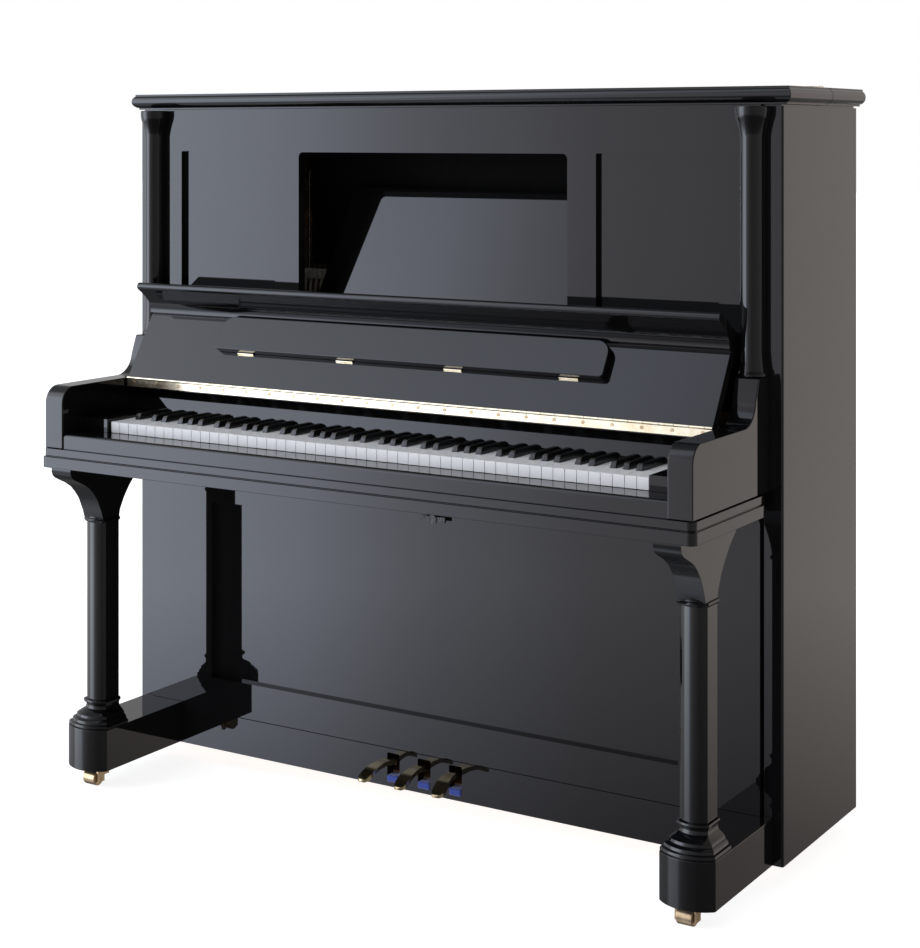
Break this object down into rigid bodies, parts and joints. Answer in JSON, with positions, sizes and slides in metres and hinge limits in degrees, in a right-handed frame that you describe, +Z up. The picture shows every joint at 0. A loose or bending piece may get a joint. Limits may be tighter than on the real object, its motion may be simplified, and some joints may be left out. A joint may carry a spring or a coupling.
{
  "type": "upright piano",
  "caption": "Full-size upright piano with a glossy case, hinged lid, folding fallboard, leaning music desk, moulded front legs on casters, three pedals and a full keyboard.",
  "frame": {"origin": "on the floor, at the middle of the piano's bounding box", "axes": "+X to the player's right, +Y from the player to the back, +Z up"},
  "size_m": [1.542, 0.7, 1.4385],
  "materials": {
    "lacquer": "high-gloss black polyester lacquer over wood",
    "hinge_brass": "pale polished brass",
    "pedal_brass": "polished brass",
    "caster_brass": "aged brass",
    "catch_black": "black",
    "felt_blue": "woven felt",
    "key_white": "glossy",
    "key_black": "satin gloss",
    "spruce": "bare satin",
    "beech": "bare satin",
    "plate_gold": "bronze paint",
    "steel": "plain",
    "hammer_felt": "pressed felt",
    "inner_black": "matt black stain"
  },
  "bodies": {
    "piano_case": {"case_side_left": "lacquer", "case_side_right": "lacquer", "bottom_board": "beech", "bottom_rail": "lacquer", "lid_rear": "lacquer", "lid_hinge": "hinge_brass", "upper_frame": "lacquer", "upper_panels": "lacquer", "pilasters": "lacquer", "fallboard_hinge": "hinge_brass", "nameboard": "lacquer", "arm_left": "lacquer", "arm_right": "lacquer", "key_blocks": "lacquer", "key_slip": "lacquer", "key_bed": "lacquer", "leg_left": "lacquer", "leg_right": "lacquer", "toe_left": "lacquer", "toe_right": "lacquer", "lower_frame": "lacquer", "lower_panel": "lacquer", "pedal_felts": "felt_blue", "key_frame": "beech", "iron_plate": "plate_gold", "strings": "steel", "tuning_pins": "steel", "soundboard": "spruce", "back_frame": "beech", "action_frame": "beech", "inner_board": "inner_black"},
    "lid_front": {"lid_front": "lacquer"},
    "music_desk": {"music_desk": "lacquer"},
    "fallboard": {"fallboard": "lacquer", "flap_hinges": "hinge_brass"},
    "music_flap": {"music_flap": "lacquer"},
    "hammers": {"hammers": "hammer_felt"},
    "panel_catch": {"panel_catch": "catch_black"},
    "pedal_left": {"pedal_left": "pedal_brass"},
    "pedal_middle": {"pedal_middle": "pedal_brass"},
    "pedal_right": {"pedal_right": "pedal_brass"},
    "white_keys_bass": {"white_keys_bass": "key_white"},
    "white_keys_treble": {"white_keys_treble": "key_white"},
    "black_keys_bass": {"black_keys_bass": "key_black"},
    "black_keys_treble": {"black_keys_treble": "key_black"},
    "key_c": {"key_c": "key_white"},
    "key_c_sharp": {"key_c_sharp": "key_black"},
    "key_d": {"key_d": "key_white"},
    "key_d_sharp": {"key_d_sharp": "key_black"},
    "key_e": {"key_e": "key_white"},
    "caster_fork_fl": {"caster_fork_fl": "caster_brass"},
    "caster_wheel_fl": {"caster_wheel_fl": "caster_brass"},
    "caster_fork_fr": {"caster_fork_fr": "caster_brass"},
    "caster_wheel_fr": {"caster_wheel_fr": "caster_brass"},
    "caster_fork_rl": {"caster_fork_rl": "caster_brass"},
    "caster_wheel_rl": {"caster_wheel_rl": "caster_brass"},
    "caster_fork_rr": {"caster_fork_rr": "caster_brass"},
    "caster_wheel_rr": {"caster_wheel_rr": "caster_brass"}
  },
  "joints": [
    {"name": "lid_front_hinge", "type": "hinge", "parent": "piano_case", "child": "lid_front", "pos_m": [0, 0.176, 1.4355], "axis": [-1, 0, 0], "range_deg": [0, 178]},
    {"name": "music_desk_pivot", "type": "hinge", "parent": "piano_case", "child": "music_desk", "pos_m": [0, 0.0345, 0.945], "axis": [1, 0, 0], "range_deg": [0, 18]},
    {"name": "fallboard_pivot", "type": "hinge", "parent": "piano_case", "child": "fallboard", "pos_m": [0, -0.151, 0.8335], "axis": [1, 0, 0], "range_deg": [0, 121]},
    {"name": "music_flap_pivot", "type": "hinge", "parent": "fallboard", "child": "music_flap", "pos_m": [0, -0.11463, 0.89648], "axis": [-1, 0, 0], "range_deg": [-100, 0]},
    {"name": "hammer_pivot", "type": "hinge", "parent": "piano_case", "child": "hammers", "pos_m": [0, 0.106, 0.94], "axis": [-1, 0, 0], "range_deg": [0, 20], "stiffness_Nm_per_rad": 3, "springref_deg": -17.19},
    {"name": "panel_catch_turn", "type": "hinge", "parent": "piano_case", "child": "panel_catch", "pos_m": [0.022, -0.016, 0.588], "axis": [0, 1, 0], "range_deg": [0, 90]},
    {"name": "pedal_left_pivot", "type": "hinge", "parent": "piano_case", "child": "pedal_left", "pos_m": [-0.0805, 0.091, 0.089], "axis": [1, 0, 0], "range_deg": [0, 4], "stiffness_Nm_per_rad": 25, "springref_deg": -5.73},
    {"name": "pedal_middle_pivot", "type": "hinge", "parent": "piano_case", "child": "pedal_middle", "pos_m": [-0.007, 0.091, 0.089], "axis": [1, 0, 0], "range_deg": [0, 4], "stiffness_Nm_per_rad": 25, "springref_deg": -5.73},
    {"name": "pedal_right_pivot", "type": "hinge", "parent": "piano_case", "child": "pedal_right", "pos_m": [0.0665, 0.091, 0.089], "axis": [1, 0, 0], "range_deg": [0, 4], "stiffness_Nm_per_rad": 25, "springref_deg": -5.73},
    {"name": "white_keys_bass_pivot", "type": "hinge", "parent": "piano_case", "child": "white_keys_bass", "pos_m": [0, -0.043, 0.738], "axis": [1, 0, 0], "range_deg": [0, 2.5], "stiffness_Nm_per_rad": 25, "springref_deg": -11.46},
    {"name": "white_keys_treble_pivot", "type": "hinge", "parent": "piano_case", "child": "white_keys_treble", "pos_m": [0, -0.043, 0.738], "axis": [1, 0, 0], "range_deg": [0, 2.5], "stiffness_Nm_per_rad": 28, "springref_deg": -11.46},
    {"name": "black_keys_bass_pivot", "type": "hinge", "parent": "piano_case", "child": "black_keys_bass", "pos_m": [0, -0.043, 0.738], "axis": [1, 0, 0], "range_deg": [0, 2.5], "stiffness_Nm_per_rad": 10, "springref_deg": -11.46},
    {"name": "black_keys_treble_pivot", "type": "hinge", "parent": "piano_case", "child": "black_keys_treble", "pos_m": [0, -0.043, 0.738], "axis": [1, 0, 0], "range_deg": [0, 2.5], "stiffness_Nm_per_rad": 12, "springref_deg": -11.46},
    {"name": "key_c_pivot", "type": "hinge", "parent": "piano_case", "child": "key_c", "pos_m": [0, -0.043, 0.738], "axis": [1, 0, 0], "range_deg": [0, 2.5], "stiffness_Nm_per_rad": 1, "springref_deg": -11.46},
    {"name": "key_c_sharp_pivot", "type": "hinge", "parent": "piano_case", "child": "key_c_sharp", "pos_m": [0, -0.043, 0.738], "axis": [1, 0, 0], "range_deg": [0, 2.5], "stiffness_Nm_per_rad": 1, "springref_deg": -11.46},
    {"name": "key_d_pivot", "type": "hinge", "parent": "piano_case", "child": "key_d", "pos_m": [0, -0.043, 0.738], "axis": [1, 0, 0], "range_deg": [0, 2.5], "stiffness_Nm_per_rad": 1, "springref_deg": -11.46},
    {"name": "key_d_sharp_pivot", "type": "hinge", "parent": "piano_case", "child": "key_d_sharp", "pos_m": [0, -0.043, 0.738], "axis": [1, 0, 0], "range_deg": [0, 2.5], "stiffness_Nm_per_rad": 1, "springref_deg": -11.46},
    {"name": "key_e_pivot", "type": "hinge", "parent": "piano_case", "child": "key_e", "pos_m": [0, -0.043, 0.738], "axis": [1, 0, 0], "range_deg": [0, 2.5], "stiffness_Nm_per_rad": 1, "springref_deg": -11.46},
    {"name": "caster_swivel_fl", "type": "hinge", "parent": "piano_case", "child": "caster_fork_fl", "pos_m": [-0.68, -0.232, 0.03], "axis": [0, 0, 1], "continuous": true},
    {"name": "caster_roll_fl", "type": "hinge", "parent": "caster_fork_fl", "child": "caster_wheel_fl", "pos_m": [-0.68, -0.25, 0.0155], "axis": [1, 0, 0], "continuous": true},
    {"name": "caster_swivel_fr", "type": "hinge", "parent": "piano_case", "child": "caster_fork_fr", "pos_m": [0.672, -0.232, 0.03], "axis": [0, 0, 1], "continuous": true},
    {"name": "caster_roll_fr", "type": "hinge", "parent": "caster_fork_fr", "child": "caster_wheel_fr", "pos_m": [0.672, -0.25, 0.0155], "axis": [1, 0, 0], "continuous": true},
    {"name": "caster_swivel_rl", "type": "hinge", "parent": "piano_case", "child": "caster_fork_rl", "pos_m": [-0.64, 0.29, 0.03], "axis": [0, 0, 1], "continuous": true},
    {"name": "caster_roll_rl", "type": "hinge", "parent": "caster_fork_rl", "child": "caster_wheel_rl", "pos_m": [-0.64, 0.272, 0.0155], "axis": [1, 0, 0], "continuous": true},
    {"name": "caster_swivel_rr", "type": "hinge", "parent": "piano_case", "child": "caster_fork_rr", "pos_m": [0.64, 0.29, 0.03], "axis": [0, 0, 1], "continuous": true},
    {"name": "caster_roll_rr", "type": "hinge", "parent": "caster_fork_rr", "child": "caster_wheel_rr", "pos_m": [0.64, 0.272, 0.0155], "axis": [1, 0, 0], "continuous": true}
  ]
}
